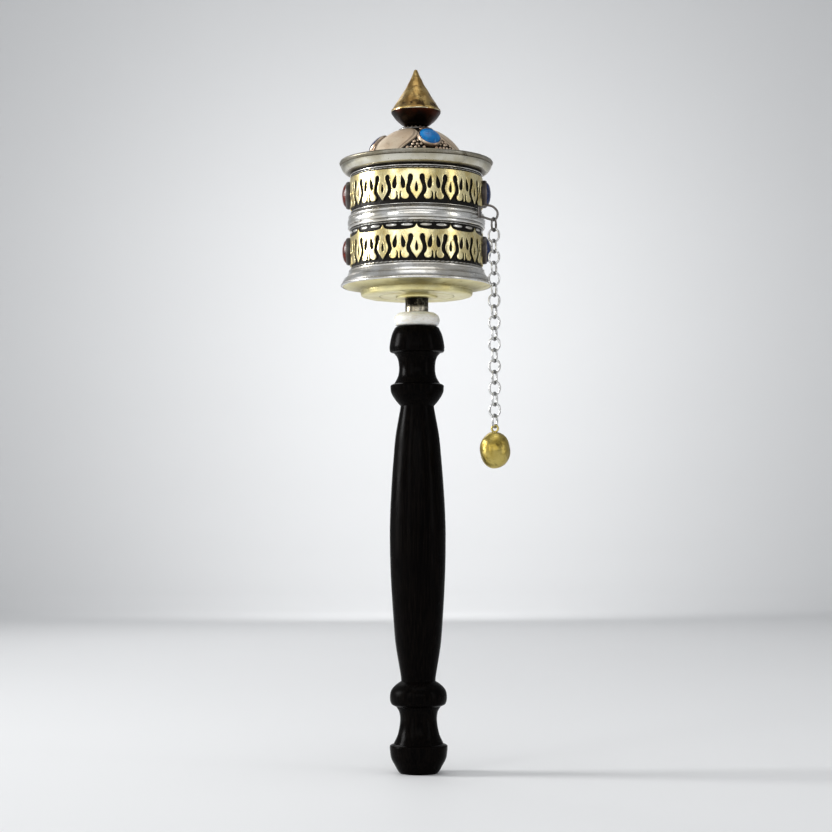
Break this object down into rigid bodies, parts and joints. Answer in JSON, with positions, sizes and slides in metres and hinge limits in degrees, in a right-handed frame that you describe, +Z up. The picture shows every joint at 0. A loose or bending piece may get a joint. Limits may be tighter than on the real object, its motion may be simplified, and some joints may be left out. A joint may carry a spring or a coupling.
{
  "type": "hand prayer wheel",
  "caption": "Hand-held prayer wheel: a banded metal drum with stones spins on a rod in a turned black handle, drawn round by a chain and a brass ball.",
  "frame": {"origin": "centre of the handle's flat foot, which stands on the floor", "axes": "+Z up the spindle to the finial; -Y is the front; the chain hangs at +X, 20 degrees towards the front"},
  "size_m": [0.0669, 0.0612, 0.28],
  "materials": {
    "ebonised_wood": "turned, ebonised, satin",
    "steel": "plain drawn rod",
    "white_shell": "polished",
    "old_steel": "streaky, part oxidised",
    "bush_brass": "machined",
    "dish_brass": "spun, pale, aged",
    "silver": "silvered, softly worn",
    "black_oxide": "oxidised black",
    "pale_gold": "pale gold, dark in the recesses",
    "dark_wire": "blackened wire",
    "copper_silver": "silvered copper, rubbed pink",
    "coral": "polished cabochon",
    "lapis": "polished cabochon",
    "turquoise": "polished cabochon",
    "finial_brass": "mottled, aged",
    "dark_brass": "dark patina",
    "chain_silver": "tumbled white metal",
    "ball_brass": "polished, slightly lumpy",
    "paper": "wound printed paper, left blank",
    "wrapper_paper": "saffron paper",
    "thread": "cotton thread"
  },
  "bodies": {
    "handle": {"handle": "ebonised_wood", "spindle": "steel"},
    "bearing_ring": {"shell_bearing_ring": "white_shell"},
    "drum": {"lower_bearing_tube": "old_steel", "lower_bush": "bush_brass", "boss_ring": "dish_brass", "bottom_plate": "dish_brass", "bottom_skirt": "silver", "drum_shell": "black_oxide", "lower_band_plate": "pale_gold", "upper_band_plate": "pale_gold", "middle_ring": "silver", "border_wires": "silver", "border_beads": "silver", "chain_eye": "dark_wire", "drum_bezels": "dark_wire", "drum_coral_stones": "coral", "drum_lapis_stones": "lapis"},
    "lid": {"lid_rim": "silver", "lid_dome": "black_oxide", "lid_bush": "bush_brass", "dome_petals": "copper_silver", "dome_granules": "copper_silver", "dome_border_wire": "copper_silver", "collar_beads": "copper_silver", "lid_collar": "copper_silver", "dome_bezels": "copper_silver", "dome_turquoise_stone": "turquoise", "dome_lapis_stone": "lapis", "dome_coral_stone": "coral"},
    "finial_nut": {"finial_nut": "bush_brass"},
    "finial": {"finial_cone": "finial_brass", "finial_bowl": "dark_brass"},
    "scroll": {"scroll_core": "wrapper_paper", "paper_scroll": "paper", "scroll_wrapper": "wrapper_paper", "scroll_ties": "thread"},
    "link_01": {"chain_link_01": "chain_silver"},
    "link_02": {"chain_link_02": "chain_silver"},
    "link_03": {"chain_link_03": "chain_silver"},
    "link_04": {"chain_link_04": "chain_silver"},
    "link_05": {"chain_link_05": "chain_silver"},
    "link_06": {"chain_link_06": "chain_silver"},
    "link_07": {"chain_link_07": "chain_silver"},
    "link_08": {"chain_link_08": "chain_silver"},
    "link_09": {"chain_link_09": "chain_silver"},
    "link_10": {"chain_link_10": "chain_silver"},
    "link_11": {"chain_link_11": "chain_silver"},
    "link_12": {"chain_link_12": "chain_silver"},
    "link_13": {"chain_link_13": "chain_silver"},
    "link_14": {"chain_link_14": "chain_silver"},
    "link_15": {"chain_link_15": "chain_silver"},
    "link_16": {"chain_link_16": "chain_silver"},
    "link_17": {"chain_link_17": "chain_silver"},
    "link_18": {"chain_link_18": "chain_silver"},
    "link_19": {"chain_link_19": "chain_silver"},
    "weight": {"weight_loop": "ball_brass", "ball_weight": "ball_brass"}
  },
  "joints": [
    {"name": "drum_spin", "type": "hinge", "parent": "handle", "child": "drum", "pos_m": [0, 0, 0.19], "axis": [0, 0, 1], "continuous": true},
    {"name": "bearing_ring_spin", "type": "hinge", "parent": "handle", "child": "bearing_ring", "pos_m": [0, 0, 0.18], "axis": [0, 0, 1], "continuous": true},
    {"name": "finial_lift", "type": "slide", "parent": "handle", "child": "finial_nut", "axis": [0, 0, 1], "range_m": [0, 0.15]},
    {"name": "finial_turn", "type": "hinge", "parent": "finial_nut", "child": "finial", "pos_m": [0, 0, 0.26], "axis": [0, 0, 1], "continuous": true},
    {"name": "lid_lift", "type": "slide", "parent": "drum", "child": "lid", "axis": [0, 0, 1], "range_m": [0, 0.1125]},
    {"name": "scroll_lift", "type": "slide", "parent": "drum", "child": "scroll", "axis": [0, 0, 1], "range_m": [0, 0.075]},
    {"name": "link_01_swing", "type": "hinge", "parent": "drum", "child": "link_01", "pos_m": [0.03027, -0.01412, 0.2172], "axis": [0.9063, -0.4226, 0], "range_deg": [-60, 60]},
    {"name": "link_02_swing", "type": "hinge", "parent": "link_01", "child": "link_02", "pos_m": [0.03027, -0.01412, 0.21297], "axis": [-0.4226, -0.9063, 0], "range_deg": [0, 85]},
    {"name": "link_03_swing", "type": "hinge", "parent": "link_02", "child": "link_03", "pos_m": [0.03027, -0.01412, 0.20869], "axis": [-0.9063, 0.4226, 0], "range_deg": [-40, 40]},
    {"name": "link_04_swing", "type": "hinge", "parent": "link_03", "child": "link_04", "pos_m": [0.03027, -0.01412, 0.20441], "axis": [0.4226, 0.9063, 0], "range_deg": [-40, 0]},
    {"name": "link_05_swing", "type": "hinge", "parent": "link_04", "child": "link_05", "pos_m": [0.03027, -0.01412, 0.20013], "axis": [0.9063, -0.4226, 0], "range_deg": [-40, 40]},
    {"name": "link_06_swing", "type": "hinge", "parent": "link_05", "child": "link_06", "pos_m": [0.03027, -0.01412, 0.19585], "axis": [-0.4226, -0.9063, 0], "range_deg": [0, 40]},
    {"name": "link_07_swing", "type": "hinge", "parent": "link_06", "child": "link_07", "pos_m": [0.03027, -0.01412, 0.19157], "axis": [-0.9063, 0.4226, 0], "range_deg": [-40, 40]},
    {"name": "link_08_swing", "type": "hinge", "parent": "link_07", "child": "link_08", "pos_m": [0.03027, -0.01412, 0.18729], "axis": [0.4226, 0.9063, 0], "range_deg": [-40, 6]},
    {"name": "link_09_swing", "type": "hinge", "parent": "link_08", "child": "link_09", "pos_m": [0.03027, -0.01412, 0.18301], "axis": [0.9063, -0.4226, 0], "range_deg": [-40, 40]},
    {"name": "link_10_swing", "type": "hinge", "parent": "link_09", "child": "link_10", "pos_m": [0.03027, -0.01412, 0.17873], "axis": [-0.4226, -0.9063, 0], "range_deg": [-14, 40]},
    {"name": "link_11_swing", "type": "hinge", "parent": "link_10", "child": "link_11", "pos_m": [0.03027, -0.01412, 0.17445], "axis": [-0.9063, 0.4226, 0], "range_deg": [-40, 40]},
    {"name": "link_12_swing", "type": "hinge", "parent": "link_11", "child": "link_12", "pos_m": [0.03027, -0.01412, 0.17017], "axis": [0.4226, 0.9063, 0], "range_deg": [-40, 17]},
    {"name": "link_13_swing", "type": "hinge", "parent": "link_12", "child": "link_13", "pos_m": [0.03027, -0.01412, 0.16589], "axis": [0.9063, -0.4226, 0], "range_deg": [-40, 40]},
    {"name": "link_14_swing", "type": "hinge", "parent": "link_13", "child": "link_14", "pos_m": [0.03027, -0.01412, 0.16161], "axis": [-0.4226, -0.9063, 0], "range_deg": [-22, 40]},
    {"name": "link_15_swing", "type": "hinge", "parent": "link_14", "child": "link_15", "pos_m": [0.03027, -0.01412, 0.15733], "axis": [-0.9063, 0.4226, 0], "range_deg": [-40, 40]},
    {"name": "link_16_swing", "type": "hinge", "parent": "link_15", "child": "link_16", "pos_m": [0.03027, -0.01412, 0.15305], "axis": [0.4226, 0.9063, 0], "range_deg": [-40, 29]},
    {"name": "link_17_swing", "type": "hinge", "parent": "link_16", "child": "link_17", "pos_m": [0.03027, -0.01412, 0.14877], "axis": [0.9063, -0.4226, 0], "range_deg": [-40, 40]},
    {"name": "link_18_swing", "type": "hinge", "parent": "link_17", "child": "link_18", "pos_m": [0.03027, -0.01412, 0.14449], "axis": [-0.4226, -0.9063, 0], "range_deg": [-30, 40]},
    {"name": "link_19_swing", "type": "hinge", "parent": "link_18", "child": "link_19", "pos_m": [0.03027, -0.01412, 0.14021], "axis": [-0.9063, 0.4226, 0], "range_deg": [-40, 40]},
    {"name": "weight_swing", "type": "hinge", "parent": "link_19", "child": "weight", "pos_m": [0.03027, -0.01412, 0.13593], "axis": [0.4226, 0.9063, 0], "range_deg": [-40, 30]}
  ],
  "couplings": [
    {"joint": "lid_lift", "follows": "finial_lift", "ratio": 0.75},
    {"joint": "scroll_lift", "follows": "finial_lift", "ratio": 0.5}
  ]
}
